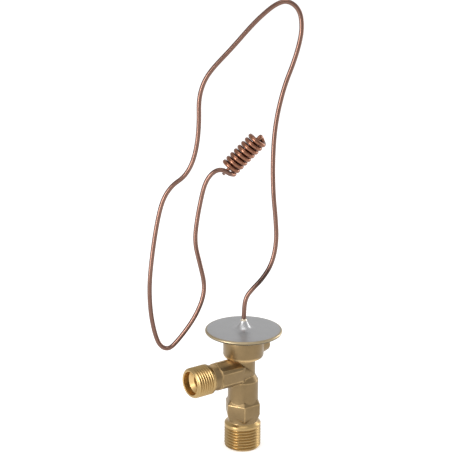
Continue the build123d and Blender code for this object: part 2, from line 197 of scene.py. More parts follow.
# Bulb: turns wound about its own tilted axis, and the tail that runs back down inside them
COIL_RADIUS, COIL_PITCH, COIL_TILT = 4.0, 2.7, 46.5
COIL_CENTRE = (-8.25, 19.0, 145.7)
COIL_START, COIL_END, COIL_STEP = 130, 3100, 30
COIL_LEVEL_ANGLE = 180  # where the winding passes the bulb's origin
COIL_LEAD = 2.6  # straight run into the first turn
CROWN_TURN, CROWN_SHARE, CROWN_RISE = 40, 0.75, 1.2  # corner between the last turn and the axis
TAIL_TOP_RISE, TAIL_TOP_DROP = 1.3, 4  # from the last turn, up to the tail's bend and down its straight
TAIL_FOOT, TAIL_TAPER = -0.6, 2  # height of the pinched end, and the length over which the tube narrows
TAIL_LENGTH, TAIL_SHARE = 3.6, 0.67  # of the pinched end, with its share of the tube's radius
BULB_MARGIN, BULB_BOTTOM = 1.6, -2.5  # reach of the bulb's own copper past the winding

# How far apart points may be and still be one, in metres
SOLID_WELD, FINE_WELD = 1e-6, 1e-7


# ---------------------------------------------------------------- places of the stage, in metres

TARGET = Vector((-11.82, 0, 122.89)) * MM
CLIP_START, CLIP_END = 0.05, 100
SENSOR_WIDTH = 36  # millimetres
KEY_LAMP = {"place": (-0.95, -0.1, 0.22), "size": (0.35, 0.6)}
RIM_LAMP = {"place": (0.9, -0.05, 0.3), "size": (0.35, 0.6)}
TOP_LAMP = {"place": (-0.25, -0.25, 1.2), "size": (0.8, 0.8)}
FLOOR_WIDTH = 60
FLOOR_GREY, FLOOR_GLOW, ROOM_GREY = 0.85, 0.4, 0.75


# ---------------------------------------------------------------- settings


class ValveSizes(bpy.types.PropertyGroup):
    """Sizes of the valve that the solids leave to the looks."""

    outlet_thread_radius: bpy.props.FloatProperty(
        name="Outlet thread radius", description="Half of the outlet thread's major diameter",
        default=9.525 * MM, subtype="DISTANCE", unit="LENGTH")
    outlet_thread_pitch: bpy.props.FloatProperty(
        name="Outlet thread pitch", description="Rise of the outlet thread in one turn",
        default=1.5875 * MM, subtype="DISTANCE", unit="LENGTH")
    inlet_thread_radius: bpy.props.FloatProperty(
        name="Inlet thread radius", description="Half of the inlet thread's major diameter",
        default=7.9375 * MM, subtype="DISTANCE", unit="LENGTH")
    inlet_thread_pitch: bpy.props.FloatProperty(
        name="Inlet thread pitch", description="Rise of the inlet thread in one turn",
        default=1.411 * MM, subtype="DISTANCE", unit="LENGTH")
    branch_height: bpy.props.FloatProperty(
        name="Branch height", description="Height of the inlet branch's axis",
        default=42.7 * MM, subtype="DISTANCE", unit="LENGTH")
    spring_coil_radius: bpy.props.FloatProperty(
        name="Spring coil radius", description="Radius of the spring's wire line",
        default=3.6 * MM, subtype="DISTANCE", unit="LENGTH")
    tube_radius: bpy.props.FloatProperty(
        name="Capillary radius", description="Half of the capillary's outside diameter",
        default=1.2 * MM, subtype="DISTANCE", unit="LENGTH")


class ValveFinishes(bpy.types.PropertyGroup):
    """Colours and glosses of the valve's metals."""

    forged_brass: bpy.props.FloatVectorProperty(
        name="Forged brass", description="Colour of the forged and blasted brass",
        default=(0.232, 0.16, 0.078), subtype="COLOR", size=3, min=0, max=1)
    machined_brass: bpy.props.FloatVectorProperty(
        name="Machined brass", description="Colour of the freshly cut brass",
        default=(0.43, 0.295, 0.13), subtype="COLOR", size=3, min=0, max=1)
    steel: bpy.props.FloatVectorProperty(
        name="Steel", description="Colour of the rolled stainless steel",
        default=(0.46, 0.46, 0.465), subtype="COLOR", size=3, min=0, max=1)
    rim: bpy.props.FloatVectorProperty(
        name="Rim", description="Colour of the cover's heat-yellowed rim",
        default=(0.40, 0.32, 0.2), subtype="COLOR", size=3, min=0, max=1)
    copper: bpy.props.FloatVectorProperty(
        name="Copper", description="Colour of the drawn copper tube",
        default=(0.205, 0.115, 0.088), subtype="COLOR", size=3, min=0, max=1)
    bulb_copper: bpy.props.FloatVectorProperty(
        name="Bulb copper", description="Colour of the copper in the wound bulb",
        default=(0.27, 0.125, 0.078), subtype="COLOR", size=3, min=0, max=1)
    heat_tint: bpy.props.FloatVectorProperty(
        name="Heat tint", description="Colour of the capillary where the torch has darkened it",
        default=(0.05, 0.03, 0.025), subtype="COLOR", size=3, min=0, max=1)


class ValveStage(bpy.types.PropertyGroup):
    """Camera, lamps and floor."""

    azimuth: bpy.props.FloatProperty(
        name="Camera azimuth", description="Turn of the camera round the valve",
        default=math.radians(-36.3), subtype="ANGLE", unit="ROTATION")
    elevation: bpy.props.FloatProperty(
        name="Camera elevation", description="Height of the camera above the horizon",
        default=math.radians(16.97), subtype="ANGLE", unit="ROTATION")
    roll: bpy.props.FloatProperty(
        name="Camera roll", description="Turn of the camera about its own line of sight",
        default=math.radians(0.45), subtype="ANGLE", unit="ROTATION")
    distance: bpy.props.FloatProperty(
        name="Camera distance", description="Distance from the camera to its target",
        default=0.8123, subtype="DISTANCE", unit="LENGTH")
    lens: bpy.props.FloatProperty(
        name="Lens", description="Focal length on a 36 mm sensor", default=128.8, unit="CAMERA")
    key_power: bpy.props.FloatProperty(
        name="Key lamp", description="Power of the key lamp", default=6.5, unit="POWER")
    rim_power: bpy.props.FloatProperty(
        name="Rim lamp", description="Power of the rim lamp", default=2.4, unit="POWER")
    top_power: bpy.props.FloatProperty(
        name="Top lamp", description="Power of the top lamp", default=3.0, unit="POWER")


# ---------------------------------------------------------------- modelling helpers


def sizes():
    return bpy.context.scene.valve_sizes


def finishes():
    return bpy.context.scene.valve_finishes


def only(piece):
    """Selects and activates one object."""
    bpy.ops.object.select_all(action="DESELECT")
    piece.select_set(True)
    bpy.context.view_layer.objects.active = piece


@contextmanager
def edit_mode(piece):
    """Opens a piece in edit mode with all of it selected, and closes it again."""
    only(piece)
    bpy.ops.object.mode_set(mode="EDIT")
    bpy.ops.mesh.select_all(action="SELECT")
    yield
    bpy.ops.object.mode_set(mode="OBJECT")


def apply_modifier(piece, kind, **settings):
    """Adds a modifier with these settings and applies it."""
    only(piece)
    modifier = piece.modifiers.new(kind.title(), kind)
    for name, value in settings.items():
        setattr(modifier, name, value)
    bpy.ops.object.modifier_apply(modifier=modifier.name)


def combine(piece, other, operation):
    """Joins the other piece to this one, or cuts it out of it, and removes it."""
    apply_modifier(piece, "BOOLEAN", operation=operation, solver="EXACT", object=other)
    bpy.data.objects.remove(other)
    if not piece.data.polygons:
        raise RuntimeError(f"{operation} left nothing of {piece.name}")


def settle(piece):
    """Moves the object's place into its mesh."""
    only(piece)
    bpy.ops.object.transform_apply(location=True, rotation=True, scale=True)


def smooth(piece, angle):
    """Shades the piece smooth, with its edges past this angle in degrees kept sharp."""
    only(piece)
    bpy.ops.object.shade_smooth_by_angle(angle=math.radians(angle))


def dress(piece, *metals):
    """Gives the piece these materials in place of its own."""
    piece.data.materials.clear()
    for metal in metals:
        piece.data.materials.append(metal)


def finish_piece(piece, name, replaced):
    """Names the piece and rides it on the valve in place of the solid that it replaces."""
    piece.name = piece.data.name = name
    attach(piece, "valve")
    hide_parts(replaced)


def merged_copy(node):
    """Copy of a solid's mesh with its loose triangles joined."""
    piece = bpy.data.objects.new(node + "_copy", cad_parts[node].data.copy())
    bpy.context.scene.collection.objects.link(piece)
    only(piece)
    if piece.data.has_custom_normals:
        bpy.ops.mesh.customdata_custom_splitnormals_clear()
    with edit_mode(piece):
        bpy.ops.mesh.remove_doubles(threshold=SOLID_WELD)
        bpy.ops.mesh.select_all(action="SELECT")
        bpy.ops.mesh.dissolve_limited(angle_limit=math.radians(0.5))
    return piece


def turned_piece(rings, segments=128):
    """Round piece about Z: a circle extruded from ring to ring of (radius, height)."""
    bpy.ops.object.select_all(action="DESELECT")
    radius, height = rings[0]
    bpy.ops.mesh.primitive_circle_add(vertices=segments, radius=radius, location=(0, 0, height))
    piece = bpy.context.object
    settle(piece)
    with edit_mode(piece):
        for next_radius, next_height in rings[1:]:
            bpy.ops.mesh.extrude_edges_move(
                TRANSFORM_OT_translate={"value": (0, 0, next_height - height)})
            factor = next_radius / radius
            bpy.ops.transform.resize(
                value=(factor, factor, 1), center_override=(0, 0, next_height))
            radius, height = next_radius, next_height
        bpy.ops.mesh.select_all(action="SELECT")
        bpy.ops.mesh.remove_doubles(threshold=FINE_WELD)
        bpy.ops.mesh.select_all(action="SELECT")
        bpy.ops.mesh.normals_make_consistent(inside=False)
    return piece


def arc_rings(centre_radius, centre_height, size, first, last, steps):
    """Rings along an arc in the (radius, height) plane, angles in degrees."""
    angles = [math.radians(first + (last - first) * step / steps) for step in range(steps + 1)]
    return [(centre_radius + size * math.cos(a), centre_height + size * math.sin(a)) for a in angles]


def smooth_line(corners, steps):
    """Points of a curve through these corners, with a number of steps per span."""
    ends = [corners[0], *corners, corners[-1]]
    points = []
    for before, first, second, after in zip(ends, ends[1:], ends[2:], ends[3:]):
        for step in range(steps):
            t = step / steps
            points.append(tuple(
                0.5 * (2 * b + (c - a) * t + (2 * a - 5 * b + 4 * c - d) * t**2
                       + (3 * b - a - 3 * c + d) * t**3)
                for a, b, c, d in zip(before, first, second, after)))
    return points + [corners[-1]]


# ---------------------------------------------------------------- shader helpers


class Socket:
    """A shader output that takes part in Python expressions."""

    def __init__(self, nodes, output):
        self.nodes = nodes
        self.output = output

    def maths(self, operation, *others):
        return self.nodes.add("ShaderNodeMath", {"operation": operation}, (self, *others))

    def __add__(self, other):
        return self.maths("ADD", other)

    def __radd__(self, other):
        return self.maths("ADD", other)

    def __sub__(self, other):
        return self.maths("SUBTRACT", other)

    def __rsub__(self, other):
        return self.nodes.add("ShaderNodeMath", {"operation": "SUBTRACT"}, (other, self))

    def __mul__(self, other):
        return self.maths("MULTIPLY", other)

    def __rmul__(self, other):
        return self.maths("MULTIPLY", other)


def rgba(colour):
    """A colour as a node takes it: a link as it is, and three numbers with their alpha."""
    return colour if isinstance(colour, Socket) else (*colour, 1)


def toned(colour, factor):
    """The colour made darker or lighter by a factor."""
    return [factor * part for part in colour]


class Nodes:
    """The node tree of a material or of the world."""

    def __init__(self, owner):
        owner.use_nodes = True
        self.owner = owner
        self.tree = owner.node_tree
        self.tree.nodes.clear()

    @cached_property
    def here(self):
        """Place on the piece, in metres."""
        return self.add("ShaderNodeTexCoord", output="Object")

    def add(self, kind, settings=None, inputs=(), output=0):
        """Adds one node: its settings first, then the values or links of its sockets."""
        node = self.tree.nodes.new(kind)
        for name, value in (settings or {}).items():
            setattr(node, name, value)
        pairs = inputs.items() if isinstance(inputs, dict) else enumerate(inputs)
        for key, value in pairs:
            if isinstance(value, Socket):
                self.tree.links.new(value.output, node.inputs[key])
            else:
                node.inputs[key].default_value = value
        return Socket(self, node.outputs[output]) if node.outputs else None

    def noise(self, size, detail, roughness=0.55):
        """Noise with features of about this size in metres."""
        return self.add("ShaderNodeTexNoise", {}, {
            "Vector": self.here, "Scale": 1 / size, "Detail": detail, "Roughness": roughness})

    def ramp(self, value, low, high, bottom=0.0, top=1.0):
        """Maps low..high onto bottom..top, held at the ends."""
        return self.add("ShaderNodeMapRange", {"clamp": True}, {
            "Value": value, "From Min": low, "From Max": high, "To Min": bottom, "To Max": top})

    def clouds(self, size, detail, low, high, bottom=0.0, top=1.0):
        """Noise with features of this size, its low..high mapped onto bottom..top."""
        return self.ramp(self.noise(size, detail), low, high, bottom, top)

    def mix(self, factor, first, second):
        """Blends two colours."""
        return self.add("ShaderNodeMix", {"data_type": "RGBA"}, {
            0: factor, 6: rgba(first), 7: rgba(second)}, output=2)

    def axis(self, index):
        """One coordinate of the place on the piece."""
        return self.add("ShaderNodeSeparateXYZ", {}, (self.here,), output=index)

    def surface(self, colour, roughness, metallic=1.0, **others):
        """Principled surface of this finish, joined to the output."""
        shader = self.add("ShaderNodeBsdfPrincipled", {}, {
            "Base Color": rgba(colour), "Roughness": roughness, "Metallic": metallic, **others})
        self.add("ShaderNodeOutputMaterial", {}, {"Surface": shader})
        return self.owner


def new_finish(name):
    """Nodes of a new material."""
    return Nodes(bpy.data.materials.new(name))


# ---------------------------------------------------------------- finishes


def forged_brass():
    """Forged and blasted brass: dull and finely grained, with painted light in a band on the inlet side
    below the power head, for light bounced between brass faces.
    """
    n = new_finish("forged_brass")
    colour = finishes().forged_brass
    patches = n.clouds(size=7 * MM, detail=3, low=0.4, high=0.65)
    grain = n.noise(size=1.1 * MM, detail=3, roughness=0.6)
    base = n.mix(patches * 0.5, colour, toned(colour, 0.82))
    base = n.mix(n.ramp(grain, 0.35, 0.7) * 0.2, base, toned(colour, 1.2))
    height, beside = n.axis(2), n.axis(0)
    past_bottom, past_top, past_side = (
        n.ramp(value, low * MM, high * MM)
        for value, (low, high) in (
            (height, PAINTED_LIGHT_BOTTOM), (height, PAINTED_LIGHT_TOP), (beside, PAINTED_LIGHT_SIDE)))
    # painted light: the band below the power head is made lighter, for light bounced between brass faces
    painted_light = past_bottom * (1 - past_top) * (1 - past_side)
    base = n.mix(painted_light, base, toned(colour, PAINTED_LIGHT_TONE))
    rough = n.clouds(size=4 * MM, detail=2, low=0.3, high=0.7, bottom=0.34, top=0.42)
    bump = n.add("ShaderNodeBump", {}, {"Height": grain, "Distance": 0.03 * MM, "Strength": 0.5})
    return n.surface(base, rough, metallic=0.85, Normal=bump)


def edge_highlight_brass():
    """Edges of the forging, painted lighter as a painted highlight along them."""
    n = new_finish("edge_highlight_brass")
    colour = toned(finishes().forged_brass, EDGE_HIGHLIGHT_TONE)
    base = n.mix(n.clouds(size=2 * MM, detail=2, low=0.35, high=0.7), colour, toned(colour, 0.7))
    return n.surface(base, roughness=0.32, metallic=0.9)


def machined_brass(name, colour):
    """Turned brass: brighter and yellower than the forging, with a faint stain."""
    n = new_finish(name)
    stain = n.clouds(size=5 * MM, detail=3, low=0.45, high=0.7)
    base = n.mix(stain * 0.4, colour, toned(colour, 0.8))
    rough = n.clouds(size=3 * MM, detail=2, low=0.3, high=0.7, bottom=0.3, top=0.36)
    return n.surface(base, rough)


def satin_steel(name, rim=None):
    """Rolled stainless sheet, with the heat-yellowed rim of the cover where its place is given, darkened
    below the rim's middle as painted shade.
    """
    n = new_finish(name)
    colour = finishes().steel
    base = n.mix(n.clouds(size=8 * MM, detail=3, low=0.35, high=0.7) * 0.3, colour, toned(colour, 0.88))
    rough = n.clouds(size=5 * MM, detail=2, low=0.3, high=0.7, bottom=0.34, top=0.4)
    if rim is not None:
        edge_radius, edge_height = rim
        across, deep = n.axis(0), n.axis(1)
        reach = (across * across + deep * deep).maths("SQRT")
        edge = n.ramp(reach, edge_radius - RIM_TINT_INNER * MM, edge_radius - RIM_TINT_OUTER * MM)
        above = n.ramp(n.axis(2), edge_height - RIM_SHADE_BELOW * MM, edge_height + RIM_SHADE_ABOVE * MM)
        # below the rim's middle the tint is darkened: painted shade under the rim
        rim_tint_and_painted_shade = n.mix(1 - above, finishes().rim, toned(finishes().rim, 0.2))
        base = n.mix(edge, base, rim_tint_and_painted_shade)
    return n.surface(base, rough)


def drawn_copper(name, colour, tint_at=None):
    """Drawn copper tube, browned by handling, with a torch-darkened patch where its place is given."""
    n = new_finish(name)
    patches = n.clouds(size=9 * MM, detail=4, low=0.35, high=0.7)
    base = n.mix(patches * 0.6, colour, toned(colour, 0.72))
    if tint_at is not None:
        reach = n.add("ShaderNodeVectorMath", {"operation": "DISTANCE"}, (n.here, tint_at), output="Value")
        wander = reach + TINT_WANDER * MM * n.noise(size=6 * MM, detail=2)
        tint = n.ramp(wander, TINT_CORE * MM, TINT_REACH * MM, bottom=0.95, top=0.0)
        base = n.mix(tint, base, finishes().heat_tint)
    rough = n.clouds(size=5 * MM, detail=2, low=0.3, high=0.7, bottom=0.2, top=0.28)
    return n.surface(base, rough)


def mottled(name, light, dark, size, **finish):
    """Plain finish that wavers between two colours, with features of this size in metres."""
    n = new_finish(name)
    return n.surface(n.mix(n.noise(size=size, detail=2), light, dark), **finish)


def braze_metal():
    """Silver braze, bright and slightly yellow."""
    return mottled("braze_metal", (0.85, 0.72, 0.55), (0.62, 0.55, 0.45), 0.8 * MM, roughness=0.22)


def spring_steel():
    """Drawn spring wire."""
    return mottled("spring_steel", (0.34, 0.34, 0.36), (0.22, 0.22, 0.24), 1 * MM, roughness=0.3)


def seal_rubber():
    """Black rubber of the rod's seal."""
    return mottled(
        "seal_rubber", (0.02, 0.02, 0.02), (0.035, 0.035, 0.037), 0.5 * MM, roughness=0.6, metallic=0.0)


# ---------------------------------------------------------------- body


def thread_cutter(radius, pitch, start, turns):
    """Helical groove cutter about Z: one rounded V screwed round the axis."""
    outline = [(-rise, depth) for rise, depth in GROOVE_FLANK] + [(0, GROOVE_DEPTH)] + [
        (rise, depth) for rise, depth in reversed(GROOVE_FLANK)]
    bpy.ops.object.select_all(action="DESELECT")
    bpy.ops.mesh.primitive_circle_add(vertices=len(outline), radius=pitch)
    piece = bpy.context.object
    for vertex, (rise, depth) in zip(piece.data.vertices, outline):
        vertex.co = (radius - depth * pitch, 0, start + rise * pitch)
    apply_modifier(
        piece, "SCREW", angle=2 * math.pi, screw_offset=pitch, iterations=turns,
        steps=THREAD_STEPS, render_steps=THREAD_STEPS, axis="Z", use_normal_calculate=True)
    with edit_mode(piece):
        bpy.ops.mesh.remove_doubles(threshold=FINE_WELD)
        bpy.ops.mesh.select_all(action="DESELECT")
        bpy.ops.mesh.select_mode(type="EDGE")
        bpy.ops.mesh.select_non_manifold(extend=False)
        bpy.ops.mesh.fill_holes(sides=len(outline))
        bpy.ops.mesh.select_all(action="SELECT")
        bpy.ops.mesh.normals_make_consistent(inside=False)
    return piece


def threaded_end(outline, radius, pitch, first_groove, turns):
    """Turned end of the body with a helical thread cut into it, standing on its face."""
    rings = [(ring_radius * MM, height * MM) for ring_radius, height in outline]
    piece = turned_piece(rings + rings[:1], segments=2 * THREAD_STEPS)
    combine(piece, thread_cutter(radius, pitch, first_groove * pitch, turns), "DIFFERENCE")
    return piece


def outlet_end(size):
    """Outlet's threaded end, with its stop ring's groove and its mouth."""
    major = size.outlet_thread_radius / MM
    outline = [
        (OUTLET_JOINT_R, OUTLET_END_TOP), (OUTLET_JOINT_R, OUTLET_CUT),
        (OUTLET_BORE_R, OUTLET_CUT), (OUTLET_BORE_R, STOP_GROOVE_TOP),
        (STOP_GROOVE_R, STOP_GROOVE_TOP), (STOP_GROOVE_R, STOP_GROOVE_BOTTOM),
        (OUTLET_BORE_R, STOP_GROOVE_BOTTOM), (OUTLET_BORE_R, OUTLET_CONE_TOP),
        (OUTLET_MOUTH_R, OUTLET_MOUTH_DEPTH), (OUTLET_MOUTH_R, OUTLET_LIP_DEPTH),
        (OUTLET_LIP_R, 0), (OUTLET_FACE_R, 0), (OUTLET_EDGE_R, OUTLET_EDGE_DEPTH),
        (major, OUTLET_THREAD_BOTTOM), (major, OUTLET_THREAD_TOP),
        (major - OUTLET_RUNOUT_STEP, OUTLET_RUNOUT_TOP),
        (OUTLET_NECK_R, OUTLET_NECK_BOTTOM), (OUTLET_NECK_R, OUTLET_END_TOP),
    ]
    return threaded_end(
        outline, size.outlet_thread_radius, size.outlet_thread_pitch, OUTLET_FIRST_GROOVE, OUTLET_TURNS)


def inlet_end(size):
    """Inlet's threaded end, turned upright and then laid along the branch."""
    major = size.inlet_thread_radius / MM
    outline = [
        (INLET_JOINT_R, INLET_END_ROOT), (INLET_JOINT_R, INLET_CUT),
        (INLET_BORE_R, INLET_CUT), (INLET_BORE_R, INLET_CONE_ROOT),
        (INLET_MOUTH_R, INLET_MOUTH_FLOOR), (INLET_MOUTH_R, INLET_LIP_START),
        (INLET_LIP_R, INLET_FACE), (INLET_FACE_R, INLET_FACE), (INLET_EDGE_R, INLET_EDGE_START),
        (major, INLET_THREAD_END), (major, INLET_THREAD_START),
        (major - INLET_RUNOUT_STEP, INLET_RUNOUT_START),
        (INLET_NECK_R, INLET_NECK_END), (INLET_NECK_R, INLET_END_ROOT),
    ]
    piece = threaded_end(
        [(radius, INLET_FACE - reach) for radius, reach in outline],
        size.inlet_thread_radius, size.inlet_thread_pitch, INLET_FIRST_GROOVE, INLET_TURNS)
    place = Matrix.Translation((-INLET_FACE * MM, 0, size.branch_height))
    piece.matrix_world = place @ Matrix.Rotation(math.radians(90), 4, "Y")
    settle(piece)
    return piece


def cut_box(piece, low, high):
    """Cuts a box between two corners off the piece."""
    bpy.ops.object.select_all(action="DESELECT")
    bpy.ops.mesh.primitive_cube_add(size=1, location=(Vector(low) + Vector(high)) / 2 * MM)
    box = bpy.context.object
    box.scale = (Vector(high) - Vector(low)) * MM
    settle(box)
    combine(piece, box, "DIFFERENCE")


FORGED, EDGE_HIGHLIGHT, TURNED, BORE_PAINTED_LIGHT = range(4)  # slots of the body's brass


def lay_brass(piece, branch_height):
    """Gives the body's faces their brass by place, painted light inside the inlet mouth among them; the
    rest keep what the rounding of edges gave them, the painted edge highlight on the edges.
    """
    for face in piece.data.polygons:
        place = face.center / MM
        from_stem = math.hypot(place.x, place.y)
        from_branch = math.hypot(place.y, place.z - branch_height)
        in_spring_bore = from_stem < SPRING_BORE_R and place.z < SPRING_BORE_TOP
        # inside the inlet mouth: painted light for light bounced inside the bore
        if from_branch < PAINTED_LIGHT_BORE_R and -place.x > PAINTED_LIGHT_BORE_START:
            face.material_index = BORE_PAINTED_LIGHT
        elif -place.x > TURNED_INLET_START or place.z < TURNED_OUTLET_TOP or in_spring_bore:
            face.material_index = TURNED
        # The stem's root and the waist keep plain forged brass, without the painted highlight on their
        # edges
        elif (STEM_ROOT_BOTTOM < place.z < STEM_ROOT_TOP
              or (place.z > WAIST_BOTTOM and abs(place.x) < WAIST_HALF_WIDTH)):
            face.material_index = FORGED


class VALVE_OT_body(bpy.types.Operator):
    """Forged brass body with its two cut threads"""

    bl_idname = "valve.body"
    bl_label = "Body"

    def execute(self, context):
        size = sizes()
        piece = merged_copy("valve_body")
        half = CUT_HALF_WIDTH
        cut_box(piece, (-half, -half, OUTLET_CUT_BOTTOM), (half, half, OUTLET_CUT))
        cut_box(piece, (-INLET_CUT_REACH, -half, INLET_CUT_LOW), (-INLET_CUT, half, INLET_CUT_HIGH))
        turned = finishes().machined_brass
        # The second brass is a painted edge highlight, and the fourth is painted light inside the inlet
        # mouth
        dress(
            piece, forged_brass(), edge_highlight_brass(), machined_brass("machined_brass", turned),
            machined_brass("bore_brass_painted_light", toned(turned, BORE_PAINTED_LIGHT_TONE)))
        # The rounded edges take the brass with the painted highlight
        apply_modifier(
            piece, "BEVEL", width=EDGE_WIDTH * MM, segments=EDGE_SEGMENTS, limit_method="ANGLE",
            angle_limit=math.radians(EDGE_ANGLE), use_clamp_overlap=False, material=EDGE_HIGHLIGHT)
        combine(piece, outlet_end(size), "UNION")
        combine(piece, inlet_end(size), "UNION")
        smooth(piece, angle=32)
        lay_brass(piece, size.branch_height / MM)
        finish_piece(piece, "body", "valve_body")
        return {"FINISHED"}


# ---------------------------------------------------------------- power head


class VALVE_OT_power_head(bpy.types.Operator):
    """Steel power head: cover with its rolled rim and drawn hub, and the braze round the capillary"""

    bl_idname = "valve.power_head"
    bl_label = "Power head"

    def execute(self, context):
        tube = sizes().tube_radius
        self.add_cover(tube)
        self.add_bead(tube)
        return {"FINISHED"}

    def add_cover(self, tube):
        low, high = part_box("head_cover")
        base_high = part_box("head_base")[1]
        disc_top, dome = DISC_TOP * MM, DISC_DOME * MM
        rim_half = (disc_top - low.z) / 2
        rim_middle = low.z + rim_half
        hub_foot = disc_top + dome
        hub = [(radius * MM, hub_foot + rise * MM) for radius, rise in smooth_line(HUB_OUTLINE, HUB_STEPS)]
        piece = turned_piece(
            [(tube, base_high.z), (base_high.x, base_high.z), (base_high.x, low.z)]
            + arc_rings(high.x - rim_half, rim_middle, rim_half, -90, 90, RIM_STEPS)
            + [(radius * MM, disc_top + share * dome) for radius, share in DISC_RINGS]
            + [(DISC_INNER_R * MM, hub_foot - DISC_INNER_DROP * MM)] + hub
            + [(tube, high.z), (tube, base_high.z)])
        smooth(piece, angle=40)
        dress(piece, satin_steel("cover_steel", rim=(high.x, rim_middle)))
        finish_piece(piece, "cover", "head_cover")

    def add_bead(self, tube):
        low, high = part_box("braze_bead")
        piece = turned_piece([
            (tube, high.z),
            (tube + BEAD_TOP_OUT * MM, high.z - BEAD_TOP_DROP * MM),
            (tube + BEAD_SHOULDER_OUT * MM, low.z + BEAD_SHOULDER_RISE * MM),
            (tube + BEAD_FOOT_OUT * MM, low.z),
            (tube, low.z),
            (tube, high.z),
        ], segments=48)
        smooth(piece, angle=60)
        dress(piece, braze_metal())
        finish_piece(piece, "braze", "braze_bead")


# ---------------------------------------------------------------- capillary and bulb


def loop_axes():
    """Turn of the loop's upright planes about the stem."""
    return Matrix.Rotation(math.radians(LOOP_TURN), 3, "Z")


def in_loop(along, behind, height):
    """Point of the capillary's route in the valve's frame, in metres."""
    return loop_axes() @ Vector((along, behind, height)) * MM


def coil_frame():
    """Local frame of the bulb: Z along its axis, X to the side that faces the big loop."""
    tilt = math.radians(COIL_TILT)
    z_axis = loop_axes() @ Vector((math.cos(tilt), 0, math.sin(tilt)))
    x_axis = loop_axes() @ Vector((-math.sin(tilt), 0, math.cos(tilt)))
    axes = Matrix((x_axis, z_axis.cross(x_axis), z_axis)).transposed().to_4x4()
    return Matrix.Translation(in_loop(*COIL_CENTRE)) @ axes


def capillary_points():
    """Control points of the capillary's line with the share of its radius at each."""
    local = coil_frame()

    def at(angle, radius, height):
        """Point of the bulb, from millimetres about its axis to the valve's frame."""
        turn = math.radians(angle)
        return local @ Vector((radius * math.cos(turn) * MM, radius * math.sin(turn) * MM, height * MM))

    def climb(angle):
        return COIL_PITCH * (angle - COIL_LEVEL_ANGLE) / 360

    control_radius = COIL_RADIUS / math.cos(math.radians(COIL_STEP / 2))
    winding = [
        at(angle, control_radius, climb(angle)) for angle in range(COIL_START, COIL_END + 1, COIL_STEP)]
    heading = (winding[1] - winding[0]).normalized()
    top = climb(COIL_END)
    points = [
        *(in_loop(*corner) for corner in TUBE_ROUTE),
        winding[0] - heading * COIL_LEAD * MM,
        *winding,
        at(COIL_END + CROWN_TURN, CROWN_SHARE * COIL_RADIUS, top + CROWN_RISE),
        at(0, 0, top + TAIL_TOP_RISE),
        at(0, 0, top - TAIL_TOP_DROP),
        at(0, 0, TAIL_FOOT + TAIL_TAPER),
    ]
    pinched = [at(0, 0, TAIL_FOOT), at(0, 0, TAIL_FOOT - TAIL_LENGTH)]
    return [(point, 1.0) for point in points] + [(point, TAIL_SHARE) for point in pinched]


class VALVE_OT_capillary(bpy.types.Operator):
    """Bent capillary with its wound bulb, as one tube on a smooth line"""

    bl_idname = "valve.capillary"
    bl_label = "Capillary and bulb"

    def execute(self, context):
        bpy.ops.object.select_all(action="DESELECT")
        bpy.ops.curve.primitive_nurbs_path_add()
        piece = context.object
        self.draw_line(piece.data)
        only(piece)
        bpy.ops.object.convert(target="MESH")
        piece = context.object
        settle(piece)
        smooth(piece, angle=50)
        dress(
            piece, drawn_copper("drawn_copper", finishes().copper, in_loop(*TINT_CENTRE)),
            drawn_copper("bulb_copper", finishes().bulb_copper))
        self.lay_copper(piece)
        finish_piece(piece, "capillary", "capillary_tube")
        return {"FINISHED"}

    def draw_line(self, curve):
        """Draws the tube's line in a curve, with its thickness."""
        curve.splines.clear()
        points = capillary_points()
        spline = curve.splines.new("NURBS")
        spline.points.add(len(points) - 1)
        for point, (place, share) in zip(spline.points, points):
            point.co = (*place, 1)
            point.radius = share
        spline.order_u = 3
        spline.use_endpoint_u = True
        spline.resolution_u = 6
        curve.dimensions = "3D"
        curve.bevel_depth = sizes().tube_radius
        curve.bevel_resolution = 6
        curve.use_fill_caps = True

    def lay_copper(self, piece):
        """Gives the bulb's faces the second copper."""
        local = coil_frame().inverted()
        reach = (COIL_RADIUS + BULB_MARGIN) * MM
        for face in piece.data.polygons:
            place = local @ face.center
            if math.hypot(place.x, place.y) < reach and place.z > BULB_BOTTOM * MM:
                face.material_index = 1


# ---------------------------------------------------------------- inner parts


class VALVE_OT_spring(bpy.types.Operator):
    """Superheat spring in two halves, cut at its middle"""

    bl_idname = "valve.spring"
    bl_label = "Spring"

    def execute(self, context):
        low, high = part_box("superheat_spring")
        middle = Vector((0, 0, (low.z + high.z) / 2))
        metal = spring_steel()
        for name, lower in (("spring_lower", True), ("spring_upper", False)):
            piece = merged_copy("superheat_spring")
            with edit_mode(piece):
                bpy.ops.mesh.bisect(
                    plane_co=middle, plane_no=(0, 0, 1), use_fill=True,
                    clear_outer=lower, clear_inner=not lower)
            smooth(piece, angle=60)
            dress(piece, metal)
            piece.name = piece.data.name = name
            if lower:
                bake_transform(piece)
            else:
                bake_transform(piece)
            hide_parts("superheat_spring")
        return {"FINISHED"}


class VALVE_OT_inner_parts(bpy.types.Operator):
    """Metals of the parts that keep their solid's shape"""

    bl_idname = "valve.inner_parts"
    bl_label = "Inner parts"

    def execute(self, context):
        parts_of = {
            bpy.data.materials["machined_brass"]: (
                "diaphragm_pad", "guide_bush", "ball_cradle", "spring_cup", "adjusting_nut",
                "strainer_ring"),
            satin_steel("satin_steel"): (
                "head_base", "diaphragm", "pushrod", "seal_retainer", "orifice_seat", "valve_ball",
                "strainer_screen"),
            bpy.data.materials["spring_steel"]: ("stop_ring",),
            seal_rubber(): ("rod_seal",),
        }
        for metal, nodes in parts_of.items():
            for node in nodes:
                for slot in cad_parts[node].material_slots:
                    slot.material = metal
        return {"FINISHED"}


# ---------------------------------------------------------------- stage


